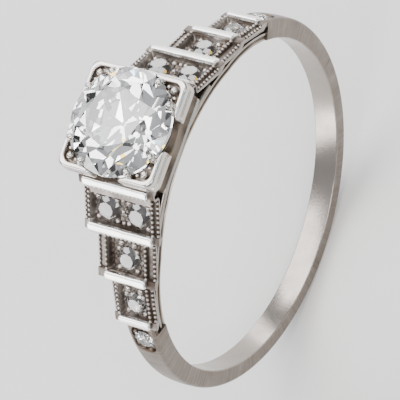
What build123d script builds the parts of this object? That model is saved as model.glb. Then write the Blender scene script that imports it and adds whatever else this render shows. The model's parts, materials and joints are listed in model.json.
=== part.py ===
from build123d import *
import os
from math import acos, atan2, cos, degrees, radians, sin, sqrt, tan

# Vintage engagement ring: a round stone in a square box head, stepped box shoulders with
# small stones between raised bars, and a plain shank. Millimetres. The finger axis is Y,
# the head is at +Z, and the origin is the centre of the finger hole.
# Heights are measured outwards from the finger hole's wall. "left" is -X, "front" is -Y.

# Finger hole, shank and finger rail
FINGER_RADIUS = 8.5
SHANK_THICKNESS = 0.85  # at the bottom of the ring
SHANK_LIFT = 0.135  # the outer circle's centre stands this far above the finger's
SHANK_WIDTH = 1.3
SHANK_TOP_WIDTH = 1.65  # where the shank meets the shoulders
SHANK_EDGE = 0.22  # rounding of the shank's outer edges
RAIL_THICKNESS = 0.4
RAIL_WIDTH = 2.0
RAIL_END_WIDTH = 1.5
RAIL_TAPER_RUN = 2.7  # length, along X, over which the rail narrows to its end width
JOINT_RUN = 0.9  # solder joint of rail and shank, this far past the last bar

# Shoulders: four bars with three tiers between them, listed from the head outwards
FIRST_BAR_GAP = 0.21  # from the head's side to the first bar's centre
BAR_HEIGHTS = [3.56, 2.39, 1.75, 1.4]
BAR_LENGTHS = [3.64, 3.68, 2.34, 1.8]
TIER_RUNS = [2.54, 2.58, 2.7]  # from each bar to the next
BAR_WIDTH = 0.45
BAR_PROUD = 0.2  # a bar's top above the tier that it stands on
BAR_ROUND = 0.14
TIER_STEP = 0.3  # drop from one tier's lower edge to the next tier's surface
TIER_THICKNESS = [0.75, 0.65, 0.5]
TIER_WIDTHS = [4.2, 3.26, 2.4]  # over the ledges
BOX_WIDTHS = [3.68, 2.36, 1.9]  # over the raised box inside the ledges
BOX_WALL = 0.14
LEDGE_DROP = 0.14
BED_DEPTH = 0.28
SIDE_DRAFT = 26.0  # the tiers' side walls lean inwards, in degrees
WEB_WIDTH = 1.2
POST_RUN = 0.9
POST_WIDTH = 1.96
SIDE_STONES = [1.4, 1.3, 1.24]  # girdle diameters in tiers 1 to 3
STONE_TO_BAR = 0.04  # from a stone's edge to the bar below it
BED_TO_STONE = [0.07, 0.53, 0.64]  # from each bed's upper end to its stone's edge
PAIR_SPACING = 1.72  # between the two stones of tier 1
END_STONE = 1.1
END_STONE_RUN = 1.42  # from the last bar to the stone in the shank
END_BED_LENGTH = 1.7
END_BED_WIDTH = 1.12
END_BED_DEPTH = 0.16

# Head
CENTRE_STONE = 5.3
HEAD_MARGIN = 0.02  # from the stone's edge to the head's side
HEAD_TOP = 4.5  # height of the corner plates' rims
GIRDLE_RISE = 0.04  # the stone's girdle above the rims
CORNER_DEPTH = 0.8
CORNER_OPENING = 1.6  # gap between two corner plates along a side
CORNER_ROUND = 0.45
RIM_WIDTH = 0.42
RIM_DEPTH = 0.3
RIM_CHAMFER = 0.16
COLLET_DEPTH = 0.95
COLLET_INSET = 0.3
COLLET_WALL = 0.4
SCALLOP_DEPTH = 0.45
SCALLOP_RADIUS = 1.35
FRAME_DEPTH = 0.3
FRAME_WIDTH = 0.55
LEG_RADIUS = 0.24
LEG_FOOT_X = 1.45
LEG_FOOT_Y = 0.6
WIRE_RADIUS = 0.15
WIRE_HEIGHT = 0.75
WIRE_REACH = 3.7  # half the span of a gallery wire along X
WIRE_PROUD = 0.2  # the wire stands this far outside the rail's edge

# Stones and grains
STONE_CLEARANCE = 0.015
GRAIN_RADIUS = 0.15
CORNER_GRAIN_RADIUS = 0.2
HEAD_SIDE_GRAIN_RADIUS = 0.19  # the pair above the single stones of tiers 2 and 3
HEAD_SIDE_GRAIN_SPACING = 0.72
TABLE_SHARE = 0.56  # of the diameter
CROWN_ANGLE = 33.5
PAVILION_ANGLE = 41.0
GIRDLE_SHARE = 0.03
STAR_SHARE = 0.5  # of the way from table to girdle
LOWER_SHARE = 0.4  # lower facets' inner points, as a share of the radius
CULET_SHARE = 0.05

# Worked out
head_half = CENTRE_STONE / 2 + HEAD_MARGIN
rim_top = FINGER_RADIUS + HEAD_TOP
girdle_z = rim_top + GIRDLE_RISE
corner_floor = rim_top - CORNER_DEPTH
collet_half = head_half - COLLET_INSET
frame_top = corner_floor - COLLET_DEPTH
frame_bottom = frame_top - FRAME_DEPTH
rail_radius = FINGER_RADIUS + RAIL_THICKNESS
shank_radius = FINGER_RADIUS + SHANK_THICKNESS + SHANK_LIFT
FAR = 4 * FINGER_RADIUS  # larger than the ring, for cutting shapes


def polar(radius, angle):
    """A point of the side view, at an angle in degrees from the head towards +X."""
    return Vector(radius * sin(radians(angle)), radius * cos(radians(angle)))


def angle_of(point):
    return degrees(atan2(point.X, point.Y))


def side_solid(face, width):
    """Extrude a side-view face (X, Z) to a width centred on the ring."""
    return extrude(Plane.XZ * face, width / 2, both=True)


def polygon(*points):
    return make_face(Polyline(*points, close=True))


def bar_points():
    """The bars' top points in the side view: each lies one tier run from the last."""
    first_radius = FINGER_RADIUS + BAR_HEIGHTS[0]
    first_x = head_half + FIRST_BAR_GAP
    points = [Vector(first_x, sqrt(first_radius**2 - first_x**2))]
    for run, height in zip(TIER_RUNS, BAR_HEIGHTS[1:]):
        near, far = points[-1].length, FINGER_RADIUS + height
        turn = degrees(acos((near**2 + far**2 - run**2) / (2 * near * far)))
        points.append(polar(far, angle_of(points[-1]) + turn))
    return points


bars = bar_points()
along = [(bars[k + 1] - bars[k]).normalized() for k in range(3)]
outward = [Vector(-a.Y, a.X) for a in along]
bar_along = [along[0]] + along
bar_outward = [outward[0]] + outward
# A bar's foot is the middle of its underside, and a tier ends at the bar's lower side
feet = [p - n * BAR_PROUD for p, n in zip(bars, bar_outward)]
ends = [f + a * (BAR_WIDTH / 2) for f, a in zip(feet, bar_along)]
starts = [e - n * TIER_STEP for e, n in zip(ends, bar_outward)]
under_ends = [ends[k + 1] - outward[k] * TIER_THICKNESS[k] for k in range(3)]
under_starts = [starts[k] - bar_outward[k] * (TIER_THICKNESS[k] * 0.8) for k in range(3)]
ledge_start = Vector(collet_half, (feet[0] - along[0] * (BAR_WIDTH / 2)).Y)
ledge_under = Vector(collet_half, frame_bottom)
last_angle = angle_of(bars[3])
joint_angle = last_angle + degrees(JOINT_RUN / FINGER_RADIUS)
tongue_radius = under_ends[2].length
end_stone_angle = last_angle + degrees(END_STONE_RUN / shank_radius)


def shank_outer(angle):
    """Radius of the shank's outer circle, whose centre is lifted, at an angle from the head."""
    a = radians(angle)
    return SHANK_LIFT * cos(a) + sqrt(shank_radius**2 - (SHANK_LIFT * sin(a)) ** 2)


def tier_frame(k):
    """Local plane of tier k: X runs down the slope, Z points outwards."""
    start, end = starts[k], ends[k + 1]
    slope = (end - start).normalized()
    return Plane(
        origin=(start.X, 0, start.Y),
        x_dir=(slope.X, 0, slope.Y),
        z_dir=(-slope.Y, 0, slope.X),
    )


def tier_length(k):
    return (ends[k + 1] - starts[k]).length


def bed_span(k):
    """Where tier k's bed starts and stops along the slope, from its stone up and to the lower bar."""
    stop = tier_length(k) - BAR_WIDTH
    return stop - STONE_TO_BAR - SIDE_STONES[k] - BED_TO_STONE[k], stop


def cut_profile(diameter):
    """Radii and heights of a round brilliant's facet corners, girdle centred on the origin."""
    radius = diameter / 2
    edge = radius / cos(radians(11.25))
    half_girdle = diameter * GIRDLE_SHARE / 2
    flat = cos(radians(22.5))
    table_r = radius * TABLE_SHARE
    star_r = table_r + (edge - table_r) * STAR_SHARE
    lower_r = radius * LOWER_SHARE
    culet_r = radius * CULET_SHARE
    crown, pavilion = tan(radians(CROWN_ANGLE)), tan(radians(PAVILION_ANGLE))
    return {
        "table": (table_r, half_girdle + (edge - table_r) * crown),
        "star": (star_r, half_girdle + (edge - star_r * flat) * crown),
        "top": (edge, half_girdle),
        "bottom": (edge, -half_girdle),
        "lower": (lower_r, -half_girdle - (edge - lower_r * flat) * pavilion),
        "culet": (culet_r, -half_girdle - (edge - culet_r * flat) * pavilion),
    }


def brilliant(diameter):
    """A round brilliant, girdle centred on the origin and table up, faceted and then turned round."""
    corners = cut_profile(diameter)

    def at(name, step):
        """A facet corner, with step counted in sixteenths of a turn."""
        r, z = corners[name]
        return Vector(r * cos(radians(22.5 * step)), r * sin(radians(22.5 * step)), z)

    table = [at("table", 2 * i) for i in range(8)]
    star, lower, culet = [[at(name, 2 * i + 1) for i in range(8)] for name in ("star", "lower", "culet")]
    top, bottom = [[at(name, i) for i in range(16)] for name in ("top", "bottom")]
    loops = [table, culet[::-1]]
    for i in range(8):
        before, after, main, half, ahead = i - 1, (i + 1) % 8, 2 * i, 2 * i + 1, (2 * i + 2) % 16
        loops += [
            [table[i], star[i], table[after]],
            [table[i], star[before], top[main], star[i]],
            [star[i], top[main], top[half]],
            [star[i], top[half], top[ahead]],
            [lower[i], bottom[half], bottom[main]],
            [lower[i], bottom[ahead], bottom[half]],
            [bottom[main], lower[before], culet[before], culet[i], lower[i]],
            [top[main], bottom[main], bottom[half], top[half]],
            [top[half], bottom[half], bottom[ahead], top[ahead]],
        ]
    faceted = Solid(Shell([Face(Wire.make_polygon(loop)) for loop in loops]))
    return faceted & Cylinder(diameter / 2, 3 * diameter)


def seat_cutter(diameter, open_above):
    """The room a stone needs, with its clearance: its own shape turned round its axis, and above
    the girdle either its crown or an open shaft."""
    corners = cut_profile(diameter + 2 * STONE_CLEARANCE)
    above = ["top"] if open_above else ["top", "star", "table"]
    outline = [(corners[name][0], corners[name][1] + STONE_CLEARANCE) for name in above]
    crest = diameter if open_above else outline[-1][1]
    if open_above:
        outline.append((outline[0][0], crest))
    outline.append((0, crest))
    below = [(corners[name][0], corners[name][1] - STONE_CLEARANCE) for name in ("culet", "lower", "bottom")]
    outline = [(0, below[0][1])] + below + outline
    turned = revolve(Plane.XZ * polygon(*outline), Axis.Z)
    return turned & Cylinder(diameter / 2 + STONE_CLEARANCE, 3 * diameter)


def set_stone(metal, place, diameter, grains):
    """Open a seat in the metal at a place, then raise grains round it that lap over the stone.
    A grain is x, y, the height of its ball, its radius and the length of its stem."""
    metal = metal - place * seat_cutter(diameter, True)
    for x, y, z, radius, stem in grains:
        metal += place * Pos(x, y, z) * Sphere(radius)
        if stem:
            metal += place * Pos(x, y, z - stem / 2) * Cylinder(radius, stem)
    return metal - place * seat_cutter(diameter, False)


def grain_ring(diameter, radius):
    """Four grains round a stone, on its diagonals, half sunk in the bed's floor."""
    reach = (diameter / 2 + radius * 0.55) * cos(radians(45))
    return [(x, y, 0, radius, 0) for x in (-reach, reach) for y in (-reach, reach)]


def stone_places(k):
    """Local places of tier k's stones, beside the lower bar and just above the bed's floor."""
    down = bed_span(k)[1] - STONE_TO_BAR - SIDE_STONES[k] / 2
    offsets = (-PAIR_SPACING / 2, PAIR_SPACING / 2) if k == 0 else (0,)
    height = SIDE_STONES[k] * GIRDLE_SHARE - BED_DEPTH
    return [tier_frame(k) * Pos(down, y, height) for y in offsets]


def tier(k):
    """A tier plate: side-view polygon, ledges, undercut sides, sunk bed, seats and grains."""
    outline = [starts[k], ends[k + 1], under_ends[k], under_starts[k]]
    if k == 0:
        top = [ledge_start, feet[0] - along[0] * (BAR_WIDTH / 2), ends[0], starts[0]]
        outline = top + [ends[1], under_ends[0], ledge_under]
    plate = side_solid(polygon(*outline), TIER_WIDTHS[k])
    frame, length = tier_frame(k), tier_length(k)
    depth = 2 * TIER_THICKNESS[k]
    lean = depth * tan(radians(SIDE_DRAFT))
    for side in (-1, 1):
        edge = side * TIER_WIDTHS[k] / 2
        ledge = side * BOX_WIDTHS[k] / 2
        wedge = polygon((edge, -LEDGE_DROP), (edge * 2, -LEDGE_DROP), (edge * 2, -depth - LEDGE_DROP),
                        (edge - side * lean, -depth - LEDGE_DROP))
        along_slope = Plane(origin=frame.origin - frame.x_dir * length, x_dir=(0, 1, 0), z_dir=frame.x_dir)
        plate -= extrude(along_slope * wedge, 3 * length)
        groove = Pos(0, (edge + ledge) / 2, LEDGE_DROP) * Box(
            length - BAR_WIDTH, abs(edge - ledge), 4 * LEDGE_DROP, align=(Align.MIN, Align.CENTER, Align.CENTER))
        plate -= frame * groove
    start, stop = bed_span(k)
    bed = Box(stop - start, BOX_WIDTHS[k] - 2 * BOX_WALL, BED_DEPTH, align=(Align.MIN, Align.CENTER, Align.MAX))
    plate -= frame * Pos(start, 0, 0) * bed
    grains = grain_ring(SIDE_STONES[k], GRAIN_RADIUS)
    if k:
        reach = SIDE_STONES[k] / 2 + HEAD_SIDE_GRAIN_RADIUS
        grains += [(-reach, y, 0, HEAD_SIDE_GRAIN_RADIUS, 0)
                   for y in (-HEAD_SIDE_GRAIN_SPACING / 2, HEAD_SIDE_GRAIN_SPACING / 2)]
    for place in stone_places(k):
        plate = set_stone(plate, place, SIDE_STONES[k], grains)
    return plate


def bar(k):
    """A polished bar that stands on its tier, with rounded top edges and ends."""
    body = Box(BAR_WIDTH, BAR_LENGTHS[k], BAR_PROUD, align=(Align.CENTER, Align.CENTER, Align.MIN))
    body = fillet(body.edges().filter_by(Axis.Z), BAR_ROUND)
    body = fillet(body.faces().sort_by(Axis.Z)[-1].edges(), BAR_ROUND * 0.9)
    a, n = bar_along[k], bar_outward[k]
    return Plane(origin=(feet[k].X, 0, feet[k].Y), x_dir=(a.X, 0, a.Y), z_dir=(n.X, 0, n.Y)) * body


def web():
    """The recessed wall between the finger rail and the tiers."""
    top = [ledge_under, under_ends[0], under_starts[1], under_ends[1], under_starts[2], under_ends[2]]
    joint = [polar(tongue_radius, joint_angle), polar(FINGER_RADIUS, joint_angle)]
    face = polygon(*top, *joint, Vector(collet_half, 0)) - Circle(rail_radius)
    return side_solid(face, WEB_WIDTH)


def rail():
    """The thin inner strip under the head and shoulders, narrowing towards its ends."""
    edge = FAR * sin(radians(joint_angle)), FAR * cos(radians(joint_angle))
    fan = polygon((0, 0), edge, (edge[0], FAR), (-edge[0], FAR), (-edge[0], edge[1]))
    strip = side_solid((Circle(rail_radius) - Circle(FINGER_RADIUS)) & fan, RAIL_WIDTH)
    reach = rail_radius * sin(radians(joint_angle))
    knee = reach - RAIL_TAPER_RUN
    wide, narrow = RAIL_WIDTH / 2, RAIL_END_WIDTH / 2
    plan = polygon((knee, wide), (reach, narrow), (reach, -narrow), (knee, -wide),
                   (-knee, -wide), (-reach, -narrow), (-reach, narrow), (-knee, wide))
    return strip & extrude(plan, FAR)


def end_stone_place():
    """Place of the stone in the shank's tongue, girdle just above its bed's floor."""
    radius = shank_outer(end_stone_angle) - END_BED_DEPTH + END_STONE * GIRDLE_SHARE
    centre = polar(radius, end_stone_angle)
    return Plane(
        origin=(centre.X, 0, centre.Y),
        x_dir=(cos(radians(end_stone_angle)), 0, -sin(radians(end_stone_angle))),
        z_dir=(sin(radians(end_stone_angle)), 0, cos(radians(end_stone_angle))),
    )


def shank():
    """The lower band: an eccentric ring, narrower at the bottom, with a tongue at each end."""
    face = (Pos(0, SHANK_LIFT) * Circle(shank_radius)) - Circle(FINGER_RADIUS)
    corner = polar(FAR, joint_angle)
    joint = [polar(tongue_radius, joint_angle), Vector(0, 0)]
    over = polygon(ends[3] + outward[2] * FINGER_RADIUS, under_ends[2], *joint, Vector(0, FAR))
    face = face - over - over.mirror(Plane.YZ)
    blank = side_solid(face, FAR)
    low, high, top = SHANK_WIDTH / 2, SHANK_TOP_WIDTH / 2, corner.Y / FAR * FINGER_RADIUS
    plan = polygon((low, -FAR), (low, 0), (high, top), (high, FAR),
                   (-high, FAR), (-high, top), (-low, 0), (-low, -FAR))
    blank = blank & extrude(Plane.YZ * plan, FAR, both=True)
    outer = [f for f in blank.faces() if f.geom_type == GeomType.CYLINDER and f.radius > FINGER_RADIUS + 0.5]
    rims = [e for f in outer for e in f.edges() if abs(e.center().Y) > low / 2]
    blank = fillet(rims, SHANK_EDGE)
    place = end_stone_place()
    bed = Box(END_BED_LENGTH, END_BED_WIDTH, 2 * END_BED_DEPTH, align=(Align.CENTER, Align.CENTER, Align.MIN))
    bed = fillet(bed.edges().filter_by(Axis.Z), END_BED_WIDTH * 0.4)
    cutter = place * Pos(0, 0, -END_STONE * GIRDLE_SHARE) * bed
    grains = grain_ring(END_STONE, GRAIN_RADIUS * 0.8)
    blank = blank - cutter - cutter.mirror(Plane.YZ)
    blank = set_stone(blank, place, END_STONE, grains)
    blank = set_stone(blank.mirror(Plane.YZ), place, END_STONE, grains)
    return blank.mirror(Plane.YZ)


def corner_plate():
    """The back right corner plate: rounded outer corner, raised rim, sunk floor and grains."""
    start = CORNER_OPENING / 2
    size = head_half - start
    block = Pos(start, start, corner_floor) * Box(size, size, CORNER_DEPTH, align=(Align.MIN,) * 3)
    upright = block.edges().filter_by(Axis.Z)
    block = fillet(upright.sort_by(lambda e: e.center().X + e.center().Y)[-1], CORNER_ROUND)
    top = block.faces().sort_by(Axis.Z)[-1]
    outer = [e for e in top.edges() if e.center().X + e.center().Y > start + head_half]
    block = chamfer(outer, RIM_CHAMFER)
    floor_size = size - RIM_WIDTH
    pocket = Pos(start, start, rim_top) * Box(
        floor_size, floor_size, 2 * RIM_DEPTH, align=(Align.MIN, Align.MIN, Align.CENTER))
    block -= pocket
    radius, floor = CORNER_GRAIN_RADIUS, rim_top - RIM_DEPTH - girdle_z
    reach, height = CENTRE_STONE / 2 - radius * 0.2, radius * 0.7
    grains = [(reach * cos(radians(a)), reach * sin(radians(a)), height, radius, height - floor)
              for a in (31, 59)]
    tip = reach + 1.5 * radius
    grains.append((tip * cos(radians(45)), tip * sin(radians(45)), floor + radius * 0.3, radius, radius))
    return set_stone(block, Pos(0, 0, girdle_z), CENTRE_STONE, grains)


def collet():
    """The square box under the stone, with the stone's bearing and a scallop in each side."""
    middle = frame_top + COLLET_DEPTH / 2
    inner = collet_half - COLLET_WALL
    box = Pos(0, 0, middle) * (Box(2 * collet_half, 2 * collet_half, COLLET_DEPTH)
                               - Box(2 * inner, 2 * inner, 2 * COLLET_DEPTH))
    scallop = Cylinder(SCALLOP_RADIUS, 3 * collet_half, rotation=(90, 0, 0))
    scallop = Pos(0, 0, corner_floor - SCALLOP_DEPTH + SCALLOP_RADIUS) * scallop
    box = box - scallop - Rot(0, 0, 90) * scallop
    return box - Pos(0, 0, girdle_z) * seat_cutter(CENTRE_STONE, True)


def gallery_frame():
    """The square wire frame that closes the collet's lower edge."""
    outer, inner = 2 * collet_half, 2 * (collet_half - FRAME_WIDTH)
    ring = Rectangle(outer, outer) - Rectangle(inner, inner)
    return extrude(Pos(0, 0, frame_bottom) * ring, FRAME_DEPTH)


def gallery_wire():
    """The back gallery wire: an arc over the finger rail, between the tiers' undersides."""
    radius = FINGER_RADIUS + WIRE_HEIGHT
    lift = RAIL_WIDTH / 2 + WIRE_PROUD - WIRE_RADIUS
    reach = degrees(WIRE_REACH / radius)
    path = CenterArc((0, 0, 0), radius, 90 - reach, 2 * reach)
    path = Plane.XZ * path
    section = Plane(origin=path @ 0, z_dir=path % 0) * Circle(WIRE_RADIUS)
    return Pos(0, lift, 0) * sweep(section, path)


def leg():
    """The back right leg, from the gallery frame's corner to the finger rail."""
    inset = collet_half - FRAME_WIDTH / 2
    head = Vector(inset, inset, frame_bottom)
    foot = Vector(LEG_FOOT_X, LEG_FOOT_Y, sqrt(rail_radius**2 - LEG_FOOT_X**2))
    direction = (foot - head).normalized()
    start = head - direction * LEG_RADIUS
    length = (foot - head).length + 2 * LEG_RADIUS
    rod = extrude(Plane(origin=start, z_dir=direction) * Circle(LEG_RADIUS), length)
    return rod & Pos(0, 0, frame_bottom) * Box(FAR, FAR, FAR, align=(Align.CENTER, Align.CENTER, Align.MAX))


def post():
    """The back right post, which crosses the side groove at the second bar."""
    middle = angle_of(under_ends[1])
    half = degrees(POST_RUN / 2 / FINGER_RADIUS)
    low, high = polar(FINGER_RADIUS, middle - half), polar(FINGER_RADIUS, middle + half)
    far_low, far_high = polar(bars[1].length, middle - half), polar(bars[1].length, middle + half)
    block = side_solid(polygon(low, far_low, far_high, high) - Circle(rail_radius), POST_WIDTH)
    half_space = Pos(0, WEB_WIDTH / 2, 0) * Box(FAR, FAR, FAR, align=(Align.CENTER, Align.MIN, Align.CENTER))
    return block & half_space


def main():
    parts = {}
    web_right, rail_solid = web(), rail()
    tiers = [tier(k) for k in range(3)]
    for k in range(3):
        for place in stone_places(k):
            drilled = place * seat_cutter(SIDE_STONES[k], False)
            web_right -= drilled
            rail_solid = rail_solid - drilled - drilled.mirror(Plane.YZ)
    above_web = polygon(ledge_under, under_ends[0], under_starts[1], under_ends[1], under_starts[2],
                        under_ends[2], polar(FAR, joint_angle), Vector(0, FAR))
    post_right = post() - side_solid(above_web, FAR)
    wire_back, leg_right, plate = gallery_wire(), leg(), corner_plate()
    wire_back = wire_back - web_right - tiers[0]
    leg_right = leg_right - rail_solid - wire_back

    parts["shank"] = shank()
    parts["finger_rail"] = rail_solid
    parts["collet"] = collet()
    parts["gallery_frame"] = gallery_frame()
    parts["gallery_wire_back"] = wire_back
    parts["gallery_wire_front"] = wire_back.mirror(Plane.XZ)
    parts["centre_stone"] = Pos(0, 0, girdle_z) * brilliant(CENTRE_STONE)
    for depth in ("back", "front"):
        for side in ("right", "left"):
            pieces = {"corner": plate, "leg": leg_right, "post": post_right}
            for name, piece in pieces.items():
                if depth == "front":
                    piece = piece.mirror(Plane.XZ)
                if side == "left":
                    piece = piece.mirror(Plane.YZ)
                parts[f"{name}_{depth}_{side}"] = piece

    shoulder = {"shoulder_web": web_right}
    for k in range(3):
        shoulder[f"tier_{k + 1}"] = tiers[k]
        names = ("stone_1_front", "stone_1_back") if k == 0 else (f"stone_{k + 1}",)
        for name, place in zip(names, stone_places(k)):
            shoulder[name] = place * brilliant(SIDE_STONES[k])
    for k in range(4):
        shoulder[f"bar_{k}"] = bar(k)
    shoulder["stone_4"] = end_stone_place() * brilliant(END_STONE)
    for name, piece in shoulder.items():
        parts[f"right_{name}"] = piece
        parts[f"left_{name}"] = piece.mirror(Plane.YZ)

    for name, piece in parts.items():
        piece.label = name
        export_step(piece, f"parts/{name}.step")


os.makedirs("parts", exist_ok=True)
main()
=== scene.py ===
import json
from math import acos, atan2, ceil, cos, degrees, pi, radians, sin, sqrt, tan

import bpy
import numpy as np
from mathutils import Matrix, Vector


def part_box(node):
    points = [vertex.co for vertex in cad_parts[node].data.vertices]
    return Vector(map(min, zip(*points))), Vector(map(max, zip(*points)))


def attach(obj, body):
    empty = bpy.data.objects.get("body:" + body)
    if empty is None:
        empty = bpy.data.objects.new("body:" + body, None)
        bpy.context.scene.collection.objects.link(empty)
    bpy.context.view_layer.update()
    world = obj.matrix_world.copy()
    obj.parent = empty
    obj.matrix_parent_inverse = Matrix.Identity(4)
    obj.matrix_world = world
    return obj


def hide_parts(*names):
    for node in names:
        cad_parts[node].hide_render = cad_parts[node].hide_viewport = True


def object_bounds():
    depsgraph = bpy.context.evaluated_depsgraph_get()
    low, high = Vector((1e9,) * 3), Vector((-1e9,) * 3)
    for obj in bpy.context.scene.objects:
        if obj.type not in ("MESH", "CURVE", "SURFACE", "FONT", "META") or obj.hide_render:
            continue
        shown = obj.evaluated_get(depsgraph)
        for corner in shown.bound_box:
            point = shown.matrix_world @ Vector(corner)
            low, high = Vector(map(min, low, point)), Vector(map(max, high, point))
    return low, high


# A vintage engagement ring in white metal: a round stone in a square head, stepped shoulders with
# small stones between raised bars, and a plain shank. The finger's axis is Y and the head is at +Z.
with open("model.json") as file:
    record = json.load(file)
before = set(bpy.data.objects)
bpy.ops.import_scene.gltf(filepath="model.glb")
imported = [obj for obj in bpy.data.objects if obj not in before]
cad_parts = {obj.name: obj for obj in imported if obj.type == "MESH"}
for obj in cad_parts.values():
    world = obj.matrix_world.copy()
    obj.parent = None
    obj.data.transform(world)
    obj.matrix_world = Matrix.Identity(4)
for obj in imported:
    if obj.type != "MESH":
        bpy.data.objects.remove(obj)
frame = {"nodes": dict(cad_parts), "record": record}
cad_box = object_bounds()


# ---- Camera ----
# A long lens looks down on the head from the front. It is rolled, so that the ring leans.

view_turn, view_height, view_roll = radians(-15.9), radians(59.1), radians(-56.7)
VIEW_DISTANCE = 0.14446
towards_camera = Vector((
    sin(view_turn) * cos(view_height), -cos(view_turn) * cos(view_height), sin(view_height)))
camera = bpy.data.objects.new("camera", bpy.data.cameras.new("camera"))
bpy.context.scene.collection.objects.link(camera)
camera.data.lens = 260.7
camera.data.clip_start = 0.01
camera.location = Vector((-0.00055, 0.00168, 0.00086)) + towards_camera * VIEW_DISTANCE
camera.rotation_mode = "QUATERNION"
facing = (-towards_camera).to_track_quat("-Z", "Y")
camera.rotation_quaternion = facing @ Matrix.Rotation(view_roll, 3, "Z").to_quaternion()
bpy.context.scene.camera = camera


# ---- Shank ----
# The lower band, forged in platinum and filed flat on its sides. Each end is a tongue under the
# last bar, with a round-ended bed cut into it for a small stone. All sizes are in millimetres.

finger_radius = frame["record"]["mounts"][0]["dims"]["r_mm"]
SHANK_LIFT = 0.135  # the outer circle's centre stands this far above the finger's
SHANK_WIDTH, SHANK_TOP_WIDTH = 1.3, 1.65
SHANK_CROWN = 0.05
shank_radius = -1000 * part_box("shank")[0].z + SHANK_LIFT

# The shoulder's outline in side view, which the tongues run up under
BAR_HEIGHTS = [3.56, 2.39, 1.75, 1.4]  # bar tops above the finger hole
TIER_RUNS = [2.54, 2.58, 2.7]  # from each bar to the next
FIRST_BAR_GAP = 0.21  # from the head to the first bar's middle
BAR_WIDTH, BAR_PROUD = 0.45, 0.2
TIER_THICKNESS = [0.75, 0.65, 0.5]
JOINT_RUN = 0.9  # from the last bar to the joint of shank and finger rail
head_half = 1000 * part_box("corner_back_right")[1].x


def polar(radius, angle):
    """Side-view points (x, z), at angles in degrees that are turned from the head towards +X."""
    return np.stack([radius * np.sin(np.radians(angle)), radius * np.cos(np.radians(angle))], -1)


def angle_of(point):
    """The angle of a side-view point, the reverse of polar."""
    return degrees(atan2(point[0], point[1]))


def bar_tops():
    """Each bar's top lies on its own circle about the finger, one tier run from the bar before."""
    first = head_half + FIRST_BAR_GAP
    points = [np.array([first, sqrt((finger_radius + BAR_HEIGHTS[0]) ** 2 - first**2)])]
    for run, height in zip(TIER_RUNS, BAR_HEIGHTS[1:]):
        near, far = np.hypot(*points[-1]), finger_radius + height
        turn = degrees(acos((near**2 + far**2 - run**2) / (2 * near * far)))
        points.append(polar(far, angle_of(points[-1]) + turn))
    return points


bars = bar_tops()
slopes = [(bars[k + 1] - bars[k]) / TIER_RUNS[k] for k in range(3)]
normals = [np.array([-s[1], s[0]]) for s in slopes]
bar_slopes, bar_normals = [slopes[0]] + slopes, [normals[0]] + normals
feet = [p - n * BAR_PROUD for p, n in zip(bars, bar_normals)]
tier_ends = [f + s * (BAR_WIDTH / 2) for f, s in zip(feet, bar_slopes)]
under_ends = [tier_ends[k + 1] - normals[k] * TIER_THICKNESS[k] for k in range(3)]
last_angle = angle_of(bars[3])
joint_angle = last_angle + degrees(JOINT_RUN / finger_radius)
tongue_radius = np.hypot(*under_ends[2])


def shank_outer(angle):
    """Radius of the outer circle at an angle: its centre is lifted towards the head."""
    a = np.radians(angle)
    return SHANK_LIFT * np.cos(a) + np.sqrt(shank_radius**2 - (SHANK_LIFT * np.sin(a)) ** 2)


def ramp(x, width):
    """0 below zero and 1 above it, rising in a straight line over a width centred on zero."""
    return np.clip(x / width + 0.5, 0, 1)


PAVILION_ANGLE = radians(41)
SEAT_CLEARANCE, SEAT_GAP = 0.03, 0.02  # under a stone, and beside its girdle


def seat_depth(distance, diameter, girdle_depth):
    """Depth of a stone's cone-shaped seat at a distance from its axis. It falls at the pavilion's
    angle from the girdle to the culet, and is far above the surface outside the girdle."""
    cone = girdle_depth + SEAT_CLEARANCE + (diameter / 2 - distance) * tan(PAVILION_ANGLE)
    return np.where(distance < diameter / 2 + SEAT_GAP, cone, -9)


def waves(x, y, size, height):
    """Uneven hand-cut metal: three crossed sine waves of a size, added up to a height."""
    along, aslant, across = 6.3 * x, 6.3 * (0.6 * x + 0.8 * y), 7.9 * y
    a, b, c = np.sin(along / size), np.sin(aslant / size + 2), np.sin(across / size + 1)
    return height / 3 * (a + b + c)


def closed_loft(sections, ring=False):
    """Skin over a row of closed sections (stations, points, 3). The ends are capped, or joined to
    each other when it is a ring. Faces are turned outwards by the sign of the volume."""
    stations, points = sections.shape[:2]
    here = np.arange(stations * points).reshape(stations, points)
    beside = np.roll(here, -1, 1)
    first, second = (here, np.roll(here, -1, 0)) if ring else (here[:-1], here[1:])
    first_b, second_b = (beside, np.roll(beside, -1, 0)) if ring else (beside[:-1], beside[1:])
    quads = np.stack([first, first_b, second_b, second], -1).reshape(-1, 4)
    verts = sections.reshape(-1, 3)
    a, b, c, d = (verts[quads[:, i]] for i in range(4))
    volume = np.einsum("ij,ij->i", np.cross(c - a, d - b), (a + b + c + d) / 4).sum()
    caps = [] if ring else [here[0, ::-1].tolist(), here[-1].tolist()]
    for cap in caps:
        middle, loop = verts[cap].mean(0), verts[cap]
        volume += np.einsum("ij,ij->i", np.cross(loop, np.roll(loop, -1, 0)), middle[None]).sum()
    faces = quads.tolist() + caps
    if volume < 0:
        faces = [face[::-1] for face in faces]
    return verts, faces


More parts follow.
